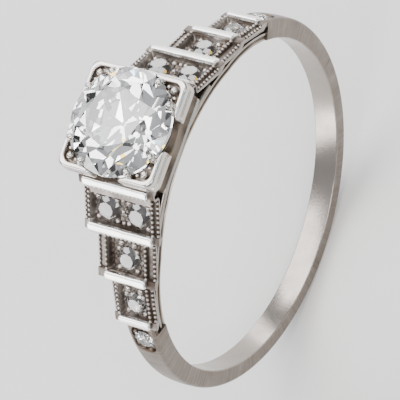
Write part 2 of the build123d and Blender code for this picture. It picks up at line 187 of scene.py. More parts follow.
def rounded_box(half, height, bottom_radius, top_radius, across, crown):
    """Closed outlines of a box whose four corners are quarter circles, from the right foot over
    the crowned top to the left foot. There is one outline for each half width and height."""
    quarter, corner = np.linspace(0, pi / 2, 6), np.ones(6)
    top = np.linspace(1, -1, across)[1:-1]
    side = np.concatenate([corner, corner, top, -corner, -corner])
    side_radius = np.concatenate([
        bottom_radius * (np.sin(quarter) - 1), top_radius * (np.cos(quarter) - 1), -top_radius * top,
        top_radius * (1 - np.sin(quarter)), bottom_radius * (1 - np.cos(quarter))])
    up = np.concatenate([0 * corner, corner, 0 * top + 1, corner, 0 * corner])
    up_radius = np.concatenate([
        bottom_radius * (1 - np.cos(quarter)), top_radius * (np.sin(quarter) - 1), 0 * top,
        top_radius * (np.cos(quarter) - 1), bottom_radius * (1 - np.sin(quarter))])
    y = side * half[:, None] + side_radius
    z = up * height[:, None] + up_radius - crown * up * (y / half[:, None]) ** 2
    return y, z


def side_to_space(side_points, y):
    """Side-view points (x, z) and their y as points in space."""
    return np.stack([side_points[..., 0], y, side_points[..., 1]], -1)


class Link:
    """An output socket of a material. Sums and products of links and numbers add Math nodes."""

    def __init__(self, tree, socket=None):
        self.tree, self.socket = tree, socket

    def node(self, kind, settings=None, sockets=None, output=0):
        """A new node of a kind: its settings first, then its sockets' values or links."""
        made = self.tree.nodes.new("ShaderNode" + kind)
        for name, value in (settings or {}).items():
            if name == "stops":
                for stop, (place, colour) in zip(made.color_ramp.elements, value):
                    stop.position, stop.color = place, colour
            else:
                setattr(made, name, value)
        for name, value in (sockets or {}).items():
            if isinstance(value, Link):
                self.tree.links.new(value.socket, made.inputs[name])
            else:
                made.inputs[name].default_value = value
        return Link(self.tree, made.outputs[output])

    def math(self, operation, a, b):
        """A Math node over two links or numbers."""
        return self.node("Math", {"operation": operation}, {0: a, 1: b})

    def blend(self, first, second):
        """A colour that goes from the first to the second as this link goes from 0 to 1."""
        return self.node("Mix", {"data_type": "RGBA"}, {0: self, 6: (*first, 1), 7: (*second, 1)}, output=2)

    def __add__(self, other):
        return self.math("ADD", self, other)

    def __sub__(self, other):
        return self.math("SUBTRACT", self, other)

    def __rsub__(self, other):
        return self.math("SUBTRACT", other, self)

    def __mul__(self, other):
        return self.math("MULTIPLY", self, other)

    __radd__, __rmul__ = __add__, __mul__


def surface(name):
    """A new material: its tree as a Link, its shader, and the place on the object."""
    material = bpy.data.materials.new(name)
    material.use_nodes = True
    tree = Link(material.node_tree)
    return material, tree, material.node_tree.nodes["Principled BSDF"], tree.node("TexCoord", output="Object")


def feed(shader, name, link):
    """Link a value to one of the shader's sockets."""
    link.tree.links.new(link.socket, shader.inputs[name])


def white_metal(name, colour, toned, roughness, tone=0.0, marks=(1, 1, 1), depth=1.0, filed=False):
    """Platinum. An attribute that holds patina and painted shade in hollows and under parts, and
    clouds a millimetre wide blend a bright colour with a toned one, polish varies in patches, and
    stretched fine noise raises rubbed marks. On a filed piece the marks lie across the band, as
    noise that changes only with the run along it, and the outer faces are darkened as a whole as
    painted shade."""
    material, tree, shader, place = surface(name)
    recess = tree.node("Attribute", {"attribute_name": "recess"}, output="Fac")
    clouds = tree.node("TexNoise", sockets={"Vector": place, "Scale": 900.0, "Detail": 4.0})
    specks = tree.node("TexNoise", sockets={"Vector": place, "Scale": 9000.0, "Detail": 3.0})
    stretched = tree.node("Mapping", sockets={"Vector": place, "Scale": marks})
    lines = tree.node("TexNoise", sockets={"Vector": stretched, "Scale": 12000.0, "Detail": 2.0})
    if filed:
        run = tree.node("Attribute", {"attribute_name": "run"}, output="Fac")
        across = tree.node("CombineXYZ", sockets={"X": run * 7, "Y": clouds * 2})
        lines = tree.node("TexNoise", sockets={"Vector": across, "Scale": 1.0, "Detail": 3.0})
        outside = tree.node("Attribute", {"attribute_name": "outside"}, output="Fac")
        lines = 0.45 + outside * (lines - 0.45)
    # Patina and painted shade from the attribute, with random clouds and specks of tone
    dirt_and_shade = recess * (0.55 + 0.9 * clouds) + tone * (clouds * 1.4 - 0.2) + 0.1 * (specks - 0.5)
    if filed:
        # Painted shade: the outer faces are darker as a whole; the file lines are real marks
        dirt_and_shade = dirt_and_shade + 0.7 * (lines - 0.45) + 0.5 * outside
    dirt_and_shade = tree.node("Clamp", sockets={"Value": dirt_and_shade})
    feed(shader, "Base Color", dirt_and_shade.blend(colour, toned))
    feed(shader, "Roughness", roughness * (0.6 + 0.8 * clouds) + 0.3 * dirt_and_shade + 0.05 * specks)
    height = lines + 0.5 * specks
    feed(shader, "Normal", tree.node(
        "Bump", sockets={"Strength": 0.12 * depth, "Distance": 0.00002, "Height": height}))
    shader.inputs["Metallic"].default_value = 1.0
    return material


def give_values(mesh, name, values):
    """Store one value a vertex as an attribute that a material reads."""
    mesh.attributes.new(name, "FLOAT", "POINT").data.foreach_set("value", values.astype("f"))


def place_piece(name, parts, material, slot, node, sharp=38):
    """Join closed parts, each (points in mm, faces, patina and painted shade), into one piece that
    stands for a CAD node. Edges sharper than an angle in degrees stay sharp."""
    verts, faces, recess, first = [], [], [], 0
    for part_verts, part_faces, part_patina_and_shade in parts:
        verts.append(part_verts)
        faces += [[i + first for i in face] for face in part_faces]
        recess.append(np.broadcast_to(part_patina_and_shade, len(part_verts)))
        first += len(part_verts)
    mesh = bpy.data.meshes.new(name)
    mesh.from_pydata((np.concatenate(verts) * 0.001).tolist(), [], faces)
    give_values(mesh, "recess", np.concatenate(recess))
    mesh.shade_smooth()
    mesh.set_sharp_from_angle(angle=radians(sharp))
    mesh.materials.append(material)
    made = bpy.data.objects.new(name, mesh)
    bpy.context.scene.collection.objects.link(made)
    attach(made, "root")
    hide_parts(node)
    return made


def mirrored(parts, axis):
    """The same parts on the other side of the ring, along axis 0 (left) or 1 (front)."""
    flip = np.ones(3)
    flip[axis] = -1
    return [(verts * flip, [face[::-1] for face in faces], recess) for verts, faces, recess in parts]


POLE_GAP = 0.18  # radians left open round a ball's poles, which its caps close


def ball(centre, radius, rows=6, columns=10, squash=1.0, up=(0, 0, 1)):
    """A grain: rings of points round a sphere, drawn in along its up direction by squash."""
    centre, up = np.array(centre, float), np.array(up, float)
    side = np.cross(up, (0.36, 0.48, 0.8))
    side /= np.linalg.norm(side)
    other = np.cross(up, side)
    lift = np.linspace(POLE_GAP - pi / 2, pi / 2 - POLE_GAP, rows)[:, None]
    turn = np.linspace(0, 2 * pi, columns, endpoint=False)[None]
    wide, high = radius * np.cos(lift), radius * squash * np.sin(lift) + 0 * turn
    points = centre + wide[..., None] * (np.cos(turn)[..., None] * side + np.sin(turn)[..., None] * other)
    return (*closed_loft(points + high[..., None] * up), 0.0)


END_STONE_RUN = 1.42  # from the last bar to the stone in the tongue
END_BED_LENGTH, END_BED_WIDTH, END_BED_DEPTH, END_BED_CORNER = 1.7, 1.12, 0.16, 0.45
FILE_DEPTH = 3.0
# These base colours are kept darker than clean platinum, for the darker look of band, rail and wires: painted
# shade
polished = white_metal("polished_platinum", (0.38, 0.345, 0.308), (0.08, 0.056, 0.04), 0.14, 0.3)
filed = white_metal("filed_shank", (0.37, 0.333, 0.303), (0.10, 0.073, 0.054), 0.17, 0.22,
                    depth=FILE_DEPTH, filed=True)


def stone_size(node):
    """A stone's girdle diameter: its solid's size along Y, in millimetres."""
    low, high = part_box(node)
    return 1000 * (high.y - low.y)


def rounded_rectangle(along, across, length, width, corner):
    """Signed distance outside a rectangle whose corners are round, in the plane of its surface."""
    a, b = np.abs(along) - length / 2 + corner, np.abs(across) - width / 2 + corner
    return np.hypot(np.maximum(a, 0), np.maximum(b, 0)) + np.minimum(np.maximum(a, b), 0) - corner


SHANK_FOOT_ROUND, SHANK_TOP_ROUND = 0.05, 0.16
BED_REACH = 1.2  # along the band on either side of the bed's stone, with some band to spare
TOP_LAYER = 0.12  # how far down the section its top face counts
SEAT_RISE = 0.03  # of the girdle above the bed's floor
UNDER_BAR = 0.12  # past the last bar's middle, where the tongue stays whole


def shank():
    """Sections stand on rays from the finger's centre, from a tongue round to the other one. The
    outer face sinks to the bed's floor and then to the seat of the stone in it."""
    beam = under_ends[2] + normals[2] * np.linspace(0, 2, 400)[:, None]
    past = np.hypot(*beam.T) - shank_outer(np.degrees(np.arctan2(*beam.T)))
    start = beam[np.argmin(np.abs(past))]
    tongue = np.linspace(0, 1, 20)[:, None]
    bed_end = last_angle + degrees((END_STONE_RUN + BED_REACH) / shank_radius)
    angles = np.concatenate([np.arange(joint_angle, bed_end, 0.2), np.linspace(bed_end, 180, 60)])
    joint = polar(shank_outer(joint_angle), joint_angle)
    outer = np.concatenate([start + (joint - start) * tongue, polar(shank_outer(angles), angles)])
    inner_turn = angle_of(under_ends[2]) + (joint_angle - angle_of(under_ends[2])) * tongue[:, 0]
    inner = np.concatenate([polar(tongue_radius, inner_turn), polar(finger_radius, angles)])
    outer = np.concatenate([outer, outer[-2::-1] * [-1, 1]])
    inner = np.concatenate([inner, inner[-2::-1] * [-1, 1]])
    height = np.hypot(*(outer - inner).T)
    up = (outer - inner) / height[:, None]
    rise = np.clip(inner[:, 1] / (cos(radians(joint_angle)) * finger_radius), 0, 1)
    half = (SHANK_WIDTH + (SHANK_TOP_WIDTH - SHANK_WIDTH) * rise) / 2
    y, z = rounded_box(half, height, SHANK_FOOT_ROUND, SHANK_TOP_ROUND, 61, SHANK_CROWN)
    turn = np.degrees(np.arctan2(np.abs(outer[:, 0]), outer[:, 1]))
    along = (radians(1) * (turn - last_angle) * shank_radius - END_STONE_RUN)[:, None]
    edge = rounded_rectangle(along, y, END_BED_LENGTH, END_BED_WIDTH, END_BED_CORNER)
    floor = END_BED_DEPTH * (1 - ramp(edge, 0.06)) + waves(along, y, 0.4, 0.012) * (edge < 0)
    seat = seat_depth(np.hypot(along, y), stone_size("right_stone_4"), END_BED_DEPTH - SEAT_RISE)
    on_top = z > height[:, None] - TOP_LAYER
    z = np.where(on_top & (along > UNDER_BAR - END_STONE_RUN), z - np.maximum(floor, seat), z)
    points = side_to_space(inner[:, None] + up[:, None] * z[..., None], y)
    # Painted shade on the tongue's inner side under the tier, and patina with painted shade in the bed
    tongue_gap_shade = ramp(joint_angle - turn[:, None] + 0 * y, 3) * 0.5 * (z < 0.3)
    recess = np.where(on_top, ramp(-edge, 0.1) * 0.75, tongue_gap_shade)
    return (*closed_loft(points), recess.reshape(-1))


END_GRAIN_RADIUS = 0.12


def end_grains():
    """Four grains round the stone in each tongue, and two that finish its bed below."""
    angle = last_angle + degrees(END_STONE_RUN / shank_radius)
    along, up = polar(1, angle + 90), polar(1, angle)
    middle = polar(shank_outer(angle) - END_BED_DEPTH, angle)
    spots = [(-0.42, 0.42), (-0.42, -0.42), (0.42, 0.42), (0.42, -0.42), (0.66, 0.2), (0.66, -0.2)]
    grains = []
    for run, y in spots:
        x, z = middle + along * run
        grains.append(ball((x, y, z), END_GRAIN_RADIUS, squash=0.9, up=(up[0], 0, up[1])))
    return grains


grains = end_grains()
band = place_piece(
    "shank_band", [shank()] + grains + mirrored(grains, 0), filed, "polished_platinum", "shank")
points = np.zeros(3 * len(band.data.vertices))
band.data.vertices.foreach_get("co", points)
x, z = points[::3], points[2::3]
give_values(band.data, "run", np.arctan2(x, z) * finger_radius)
# The outer faces flagged here are darkened in the filed material as painted shade
give_values(band.data, "outside", np.hypot(x, z) > (finger_radius + 0.04) * 0.001)


# ---- Finger rail, recessed walls and posts ----
# A thin strip lines the finger hole under the head and shoulders, with a groove filed along its
# edges. Above it a narrower wall, coloured dark as painted shade, carries the tiers, and a post
# crosses it each side.

RAIL_THICKNESS = 0.4
RAIL_WIDTH, RAIL_END_WIDTH, RAIL_TAPER_RUN = 2.0, 1.5, 2.7
WEB_WIDTH = 1.2
TIER_STEP = 0.3  # the drop from each bar's foot to the tier below it
HEAD_TOP, CORNER_DEPTH, COLLET_DEPTH, FRAME_DEPTH = 4.5, 0.8, 0.95, 0.3
COLLET_INSET = 0.3
rail_radius = finger_radius + RAIL_THICKNESS
rim_top = finger_radius + HEAD_TOP
collet_half = head_half - COLLET_INSET
collet_floor = rim_top - CORNER_DEPTH - COLLET_DEPTH
ledge_under = np.array([collet_half, collet_floor - FRAME_DEPTH])
tier_starts = [e - n * TIER_STEP for e, n in zip(tier_ends, bar_normals)]
under_starts = [tier_starts[k] - bar_normals[k] * TIER_THICKNESS[k] * 0.8 for k in range(3)]
# A dark copy of the platinum for the walls and the collet, where shade falls: painted shade
shade = white_metal("toned_recess", (0.27, 0.215, 0.168), (0.035, 0.023, 0.016), 0.3, 0.55, (1, 0.2, 1), 2.0)


def rail():
    """Sections on rays from tip to tip: the strip's sides have a shallow groove between two
    bright edges, and its plan narrows in a straight line towards its ends. The grooves and the
    channel are toned dark, as patina and painted shade."""
    angles = np.linspace(-joint_angle, joint_angle, 161)
    reach = rail_radius * sin(radians(joint_angle))
    past = np.abs(polar(rail_radius, angles)[:, 0]) - (reach - RAIL_TAPER_RUN)
    half = RAIL_WIDTH / 2 - np.clip(past / RAIL_TAPER_RUN, 0, 1) * (RAIL_WIDTH - RAIL_END_WIDTH) / 2
    inset = np.array([0.06, 0.015, 0, 0, 0.04, 0.05, 0.05, 0.04, 0, 0, 0.015, 0.06])
    level = np.array([0, 0.015, 0.05, 0.11, 0.14, 0.17, 0.23, 0.26, 0.29, 0.35, 0.385, RAIL_THICKNESS])
    channel_y = np.array([[0.45, 0.4, -0.4, -0.45]]) + 0 * half[:, None]
    channel_level = np.array([RAIL_THICKNESS, 0.28, 0.28, RAIL_THICKNESS])
    y = np.concatenate([half[:, None] - inset, channel_y, inset[::-1] - half[:, None]], 1)
    height = np.concatenate([level, channel_level, level[::-1]])
    points = polar(1, angles)[:, None] * (finger_radius + height)[:, None]
    groove = (inset > 0.03) & (level > 0.1)
    recess = np.concatenate([groove, np.ones(4), groove[::-1]]) * 0.8
    return (*closed_loft(side_to_space(points, y)), np.tile(recess, len(angles)))


def web_top(angle):
    """Radius of the tiers' undersides at an angle from the head."""
    joint = polar(tongue_radius, joint_angle)
    corners = [ledge_under, under_ends[0], under_starts[1], under_ends[1], under_starts[2]]
    corners += [under_ends[2], joint]
    share = np.linspace(0, 1, 40)[:, None]
    line = np.concatenate([a + (b - a) * share for a, b in zip(corners, corners[1:])])
    turn = np.maximum.accumulate(np.degrees(np.arctan2(line[:, 0], line[:, 1])))
    return np.interp(angle, turn, np.hypot(*line.T))


def web():
    """The right wall: sections on rays from the rail to the tiers, with a channel for the stones. It
    is coloured dark all over as painted shade.
    """
    angles = np.linspace(angle_of(ledge_under), joint_angle - 0.01, 90)
    low, high = rail_radius - 0.01, web_top(angles)
    half = WEB_WIDTH / 2
    y = np.array([half, half, 0.48, 0.46, -0.46, -0.48, -half, -half])
    share = np.array([0, 1, 1, 0.08, 0.08, 1, 1, 0])
    radius = low + (high - low)[:, None] * share
    points = polar(1, angles)[:, None] * radius[..., None]
    return (*closed_loft(side_to_space(points, np.broadcast_to(y, radius.shape))), 0.55)


POST_RUN = 0.9  # the post's length along the rail


def post():
    """The back right post: a block on the wall's side, its outer face a little rounded."""
    middle, half = angle_of(under_ends[1]), degrees(POST_RUN / 2 / finger_radius)
    steps = np.array([0.55, 0.86, 0.93, 0.97, 0.98])
    draw = np.array([0, 0, 0.03, 0.08, 0.14])
    turns = np.array([-1, -0.9, 0, 0.9, 1, 1, 0.9, 0, -0.9, -1])
    sections = []
    for y, pull in zip(steps, draw):
        angle = middle + turns * (half - degrees(pull / 9))
        radius = np.where(np.arange(10) < 5, rail_radius - 0.02 + pull, web_top(angle) - pull * 0.6)
        sections.append(side_to_space(polar(1, angle) * radius[:, None], np.full(10, y)))
    return (*closed_loft(np.array(sections)), 0.25)


wall, corner_post = [web()], [post()]
place_piece("finger_rail_strip", [rail()], polished, "polished_platinum", "finger_rail", sharp=30)
place_piece("right_wall", wall, shade, "recess_platinum", "right_shoulder_web")
place_piece("left_wall", mirrored(wall, 0), shade, "recess_platinum", "left_shoulder_web")
for depth in ("back", "front"):
    for side in ("right", "left"):
        block = mirrored(corner_post, 1) if depth == "front" else corner_post
        block = mirrored(block, 0) if side == "left" else block
        place_piece(f"post_{depth}_{side}_block", block, polished, "recess_platinum", f"post_{depth}_{side}")


# ---- Tiers of the shoulders ----
# Cast plates that step down from the head, sawn out by hand. Each has a sunk bed with bright-cut
# walls, grains that are raised to hold its stones, and edges rolled into rows of tiny beads.

TIER_WIDTHS = [4.2, 3.26, 2.4]
BOX_WIDTHS = [3.68, 2.36, 1.9]
BED_DEPTH, BOX_WALL, BED_CORNER, LEDGE_DROP = 0.28, 0.14, 0.08, 0.14
PAIR_SPACING, STONE_TO_BAR = 1.72, 0.04
BED_TO_STONE = [0.07, 0.53, 0.64]  # from each bed's upper end to its stone's edge
GIRDLE_SHARE = 0.03
SIDE_DRAFT = tan(radians(26))
BEAD_PITCH, BEAD_RADIUS = 0.24, 0.085
GRAIN_RADIUS, HEAD_SIDE_GRAIN_RADIUS, BED_GRAIN_RADIUS = 0.15, 0.19, 0.12
STATION, POINT_SPACING = 0.028, 0.03  # along and across a plate
ledge_start = np.array([collet_half, (feet[0] - slopes[0] * (BAR_WIDTH / 2))[1]])
cut_metal = white_metal("bright_cut_platinum", (0.60, 0.552, 0.515), (0.075, 0.056, 0.045), 0.2, 0.4)


class TierPlan:
    """Tier k's own measures: its slope and outward direction in side view, and, along the slope,
    its bed's start and stop and the middle of its stones. Rows are of beads, by side and drop."""

    def __init__(self, k):
        self.origin, fall = tier_starts[k], tier_ends[k + 1] - tier_starts[k]
        self.length = np.hypot(*fall)
        self.slope = fall / self.length
        self.out = np.array([-self.slope[1], self.slope[0]])
        self.diameter = stone_size("right_stone_1_back" if k == 0 else f"right_stone_{k + 1}")
        self.stop = self.length - BAR_WIDTH
        self.down = self.stop - STONE_TO_BAR - self.diameter / 2
        self.start = self.down - self.diameter / 2 - BED_TO_STONE[k]
        self.offsets = (-PAIR_SPACING / 2, PAIR_SPACING / 2) if k == 0 else (0,)
        self.rows = [(TIER_WIDTHS[k] / 2 - 0.08, LEDGE_DROP - 0.03), (BOX_WIDTHS[k] / 2 - 0.06, -0.01)]

    def ball(self, run, y, above, radius, rows=6, columns=10):
        """A grain at a run down the slope, a side place and a height above the plate."""
        x, z = self.origin + self.slope * run + self.out * above
        return ball((x, y, z), radius, rows, columns, up=(self.out[0], 0, self.out[1]))


def tier_patina_and_shade(plan, s, v, bed_edge, depth):
    """How dark the plate's top is at a run s and a side place v, as patina and painted shade: flats a
    little, the bed and the ledges more, and most under the step, by the lower bar and in a soft
    line under each row, where shade falls."""
    tone = 0.34 + ramp(-bed_edge - 0.02, 0.1) * 0.12 + ramp(depth - LEDGE_DROP * 0.6, 0.05) * 0.14
    # Painted shadow under the step and by the lower bar, on top of patina
    tone = tone + 0.8 * np.exp(-(s / 0.16) ** 2) + 0.3 * (s > plan.stop - 0.04)
    for y, _ in plan.rows:
        tone = tone + 0.8 * np.exp(-((np.abs(v) - y) / 0.07) ** 2) * (s > 0.05) * (s < plan.stop)
    near_stone = np.min([np.hypot(s - plan.down, v - y) for y in plan.offsets], 0) < plan.diameter / 2
    return np.where(near_stone, 0.05, np.clip(tone, 0, 1))


def tier_plate(k, plan):
    """The right plate of tier k: closed sections across the slope, one every few hundredths of a
    millimetre. Each section's top is a height field of box, ledges, bed and seats, and its sides
    fall straight for the ledge's drop and then lean inwards."""
    width, length = TIER_WIDTHS[k], plan.length
    tops = plan.origin + plan.slope * np.linspace(0, length, ceil(length / STATION))[:, None]
    unders = under_starts[k] + (under_ends[k] - under_starts[k]) * np.linspace(0, 1, len(tops))[:, None]
    on_plate = np.ones((len(tops), 1))
    if k == 0:
        under_head = [ledge_start, feet[0] - slopes[0] * (BAR_WIDTH / 2), tier_ends[0]]
        tops = np.concatenate([under_head, tops])
        on_plate = np.concatenate([np.zeros((3, 1)), on_plate])
        reach = np.clip((tops[:, 0] - ledge_under[0]) / (under_ends[0][0] - ledge_under[0]), 0, 1)
        unders = ledge_under + (under_ends[0] - ledge_under) * reach[:, None]
    across = int(width / POINT_SPACING)
    v = np.linspace(1, -1, across) * (width / 2 - POINT_SPACING)
    s = ((tops - plan.origin) @ plan.slope)[:, None] + 0 * v
    ledge = LEDGE_DROP * ramp(np.abs(v) - BOX_WIDTHS[k] / 2, 0.05) * ramp(plan.stop - s, 0.04)
    bed_edge = rounded_rectangle(s - (plan.start + plan.stop) / 2, v, plan.stop - plan.start,
                                 BOX_WIDTHS[k] - 2 * BOX_WALL, BED_CORNER)
    bed = BED_DEPTH * (1 - ramp(bed_edge + 0.05, 0.1)) + (bed_edge < -0.05) * waves(s, v, 0.27, 0.06)
    depth = np.maximum(ledge, bed)
    girdle = BED_DEPTH - GIRDLE_SHARE * plan.diameter
    for y in plan.offsets:
        depth = np.maximum(depth, seat_depth(np.hypot(s - plan.down, v - y), plan.diameter, girdle))
    depth = depth * on_plate
    # The stations under the head are given painted shade
    tone = tier_patina_and_shade(plan, s, v, bed_edge, depth) * on_plate + 0.75 * (1 - on_plate)
    top = tops[:, None] - plan.out * depth[..., None]
    height = np.hypot(*(tops - unders).T)[:, None]
    fall = np.array([0.03, LEDGE_DROP, 0.2, 0.5, 1.0])
    side_y = width / 2 - np.maximum(fall * height - LEDGE_DROP, 0) * SIDE_DRAFT
    edge_share = depth[:, :1] / height
    side_share = np.minimum(edge_share + fall * (1 - edge_share), 1)
    side = tops[:, None] + (unders - tops)[:, None] * side_share[..., None]
    belly_y = np.linspace(-1, 1, across) * (side_y[:, -1:] - 0.05)
    belly_share = np.maximum(1, (depth[:, ::-1] + 0.04) / height)
    belly = tops[:, None] + (unders - tops)[:, None] * belly_share[..., None]
    sections = np.concatenate([
        side_to_space(top, np.broadcast_to(v, depth.shape)), side_to_space(side, -side_y),
        side_to_space(belly, belly_y), side_to_space(side, side_y)[:, ::-1]], 1)
    # Patina with painted shade on the plate's sides, and more painted shade on its underside
    side_patina_and_shade = np.full((len(tops), len(fall)), 0.3)
    recess = np.concatenate([tone, side_patina_and_shade, np.full(depth.shape, 0.8), side_patina_and_shade], 1)
    return (*closed_loft(sections), recess.reshape(-1))


def tier_grains(k, plan):
    """Four grains round each stone, more to fill the bed, and the rows of beads along its sides."""
    grains = []
    floor, corner = -BED_DEPTH + 0.02, (plan.diameter / 2 + 0.06) / sqrt(2)
    for y in plan.offsets:
        for run_side in (-corner, corner):
            for y_side in (-corner, corner):
                grains.append(plan.ball(plan.down + run_side, y + y_side, floor, GRAIN_RADIUS))
    if k:
        run = plan.down - plan.diameter / 2 - HEAD_SIDE_GRAIN_RADIUS
        grains += [plan.ball(run, y, floor, HEAD_SIDE_GRAIN_RADIUS) for y in (-0.36, 0.36)]
    else:
        for y in (0, PAIR_SPACING - 0.16, 0.16 - PAIR_SPACING):
            for run in (plan.start + 0.16, (plan.start + plan.stop) / 2, plan.stop - 0.16):
                narrowed = y * (1 - 0.06 * (run > plan.start + 0.2))
                grains.append(plan.ball(run, narrowed, -BED_DEPTH, BED_GRAIN_RADIUS))
    first, last = 0.12, plan.stop - 0.04
    count = max(int(round((last - first) / BEAD_PITCH)), 1) + 1
    for y, drop in plan.rows:
        for facing_side in (-1, 1):
            grains += [plan.ball(run, y * facing_side, -drop, BEAD_RADIUS, 4, 7)
                       for run in np.linspace(first, last, count)]
    return grains


for k in range(3):
    plan = TierPlan(k)
    plate = [tier_plate(k, plan)] + tier_grains(k, plan)
    for side, parts in (("right", plate), ("left", mirrored(plate, 0))):
        place_piece(f"{side}_plate_{k + 1}", parts, cut_metal, "grained_platinum", f"{side}_tier_{k + 1}",
                    sharp=56)


# ---- Bars ----
# Polished platinum rods across the shoulders, one above each step, soldered down. The first two
# have their lower edge rolled into beads.

BAR_LENGTHS = [3.64, 3.68, 2.34, 1.8]
BAR_END = 0.13  # the run over which a bar's end closes
BAR_SINK = 0.02  # how far a bar is let into its tier
BAR_FOOT_ROUND, BAR_TOP_ROUND, BAR_CROWN = 0.01, 0.08, 0.015
BAR_BEAD_RADIUS, BAR_BEAD_OUT, BAR_BEAD_UP = 0.09, 0.05, 0.03  # out and up from the bar's lower foot
# A near-white copy of the platinum that makes the bars read as lit: painted highlight
lit_bar_platinum = white_metal(
    "bright_platinum", (0.97, 0.95, 0.93), (0.5, 0.46, 0.42), 0.24, 0.04, (1, 0.25, 1), 0.8)


def bar(k):
    """The right bar k: sections across it, a box with round shoulders, carried along Y. Its ends
    close as a quarter of an ellipse, and its edges wander by a few hundredths of a millimetre."""
    turn = np.linspace(-pi / 2, pi / 2, 15)
    straight = BAR_LENGTHS[k] / 2 - BAR_END
    y = np.concatenate([-straight + BAR_END * np.sin(turn[:8]), np.linspace(-1, 1, 40)[1:-1] * straight,
                        straight + BAR_END * np.sin(turn[7:])])
    close = np.concatenate([np.cos(turn[:8]), np.ones(38), np.cos(turn[7:])])
    close = 0.5 + 0.5 * np.maximum(close, 0)
    half = (BAR_WIDTH / 2 + waves(y, y * 0 + k, 1.1, 0.02)) * close - (1 - close) * 0.02
    height = (BAR_PROUD + BAR_SINK) * (0.55 + 0.45 * close)
    side, up = rounded_box(half, height, BAR_FOOT_ROUND, BAR_TOP_ROUND, 7, BAR_CROWN)
    middle = feet[k] - bar_normals[k] * BAR_SINK
    points = middle + side[..., None] * bar_slopes[k] + up[..., None] * bar_normals[k]
    parts = [(*closed_loft(side_to_space(points, np.broadcast_to(y[:, None], side.shape))), 0.0)]
    if k < 2:
        x, z = feet[k] + bar_slopes[k] * (BAR_WIDTH / 2 + BAR_BEAD_OUT) + bar_normals[k] * BAR_BEAD_UP
        reach = BAR_LENGTHS[k] / 2 - 0.16
        count = int(round(2 * reach / BEAD_PITCH)) + 1
        parts += [ball((x, bead_y, z), BAR_BEAD_RADIUS, 4, 7, up=(bar_normals[k][0], 0, bar_normals[k][1]))
                  for bead_y in np.linspace(-reach, reach, count)]
    return parts


for k in range(4):
    rod = bar(k)
    place_piece(f"right_rod_{k}", rod, lit_bar_platinum, "bright_platinum", f"right_bar_{k}", sharp=50)
    place_piece(f"left_rod_{k}", mirrored(rod, 0), lit_bar_platinum, "bright_platinum", f"left_bar_{k}", sharp=50)


# ---- Head ----
# Four corner plates with a raised, bevelled rim and a sunk floor stand on a scalloped box, which
# is closed below by a square wire. Grains on the floors are pushed over the stone's edge.

RIM_WIDTH, RIM_DEPTH, CORNER_ROUND = 0.27, 0.3, 0.45
BEVEL_HEIGHT = 0.24
CORNER_OPENING = 1.6  # between two corner plates along a side
CORNER_END, CORNER_END_DROP = 0.22, 0.16  # the run over which a rim's end rounds, and how far down
GIRDLE_RISE = 0.04  # of the centre stone above the rims
STONE_GAP, STONE_RIM_GAP = 0.012, 0.03  # from the stone's girdle to the floor, and to the rim
SCALLOP_DEPTH, SCALLOP_RADIUS = 0.45, 1.35
COLLET_WALL, FRAME_WIDTH, SOFT_EDGE = 0.4, 0.55, 0.05
GALLERY_RADIUS, GALLERY_Y, GALLERY_RISE, GALLERY_REACH = 0.15, 1.05, 0.75, 3.7
LEG_RADIUS, LEG_FOOT_X, LEG_FOOT_Y = 0.24, 1.45, 0.6
stone_radius = stone_size("centre_stone") / 2
girdle_z = rim_top + GIRDLE_RISE
corner_metal = white_metal("corner_platinum", (0.66, 0.625, 0.59), (0.10, 0.068, 0.046), 0.14, 0.16)


def square_radius(angle, half, corner):
    """Distance from the centre to a square with round corners, along rays at an angle in radians:
    the nearer of the flat side and of the corner's circle."""
    turn = np.mod(angle, pi / 2)
    turn = np.minimum(turn, pi / 2 - turn)
    flat = half / np.cos(turn)
    middle = half - corner
    along = middle * (np.cos(turn) + np.sin(turn))
    arc = along + np.sqrt(np.maximum(along**2 - 2 * middle**2 + corner**2, 0))
    return np.where(half * np.tan(turn) > middle, arc, flat)


